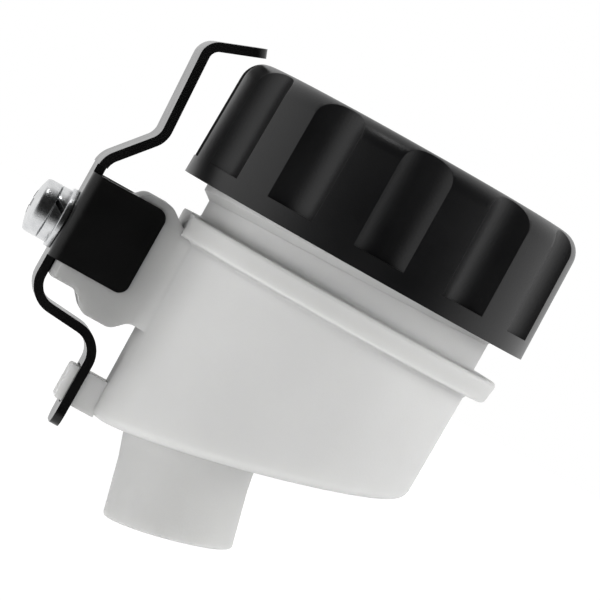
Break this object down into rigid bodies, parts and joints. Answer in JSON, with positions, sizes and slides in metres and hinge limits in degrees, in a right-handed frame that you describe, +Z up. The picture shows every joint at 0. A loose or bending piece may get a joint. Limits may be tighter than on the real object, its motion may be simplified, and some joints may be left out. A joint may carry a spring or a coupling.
{
  "type": "clutch fluid reservoir",
  "caption": "Moulded fluid reservoir with a fluted screw cap, an angled outlet spigot and a folded steel strap screwed to its side lug.",
  "frame": {"origin": "centre of the outlet spigot's mouth", "axes": "+Z up along the filler neck and cap axis, +X away from the retaining strap, +Y completes the right-handed frame"},
  "size_m": [0.0786, 0.06, 0.0754],
  "materials": {
    "body_plastic": "milky translucent, satin",
    "cap_plastic": "black, satin",
    "strap_paint": "black coating, semi-matt",
    "zinc": "bright zinc plate",
    "rubber": "matt moulded",
    "plate_plastic": "plain",
    "insert_brass": "turned"
  },
  "bodies": {
    "reservoir": {"reservoir_body": "body_plastic", "diaphragm": "rubber", "retaining_strap": "strap_paint", "strap_screw": "zinc", "spring_washer": "zinc", "plain_washer": "zinc", "threaded_insert": "insert_brass"},
    "cap_plate": {"diaphragm_plate": "plate_plastic"},
    "cap": {"screw_cap": "cap_plastic"}
  },
  "joints": [
    {"name": "cap_lift", "type": "slide", "parent": "reservoir", "child": "cap_plate", "axis": [0, 0, 1], "range_m": [0, 0.0008]},
    {"name": "cap_turn", "type": "hinge", "parent": "cap_plate", "child": "cap", "pos_m": [0.0049, 0, 0.0504], "axis": [0, 0, 1], "range_deg": [0, 70]}
  ],
  "couplings": [
    {"joint": "cap_lift", "follows": "cap_turn", "m_per_rad": 0.00063662}
  ]
}
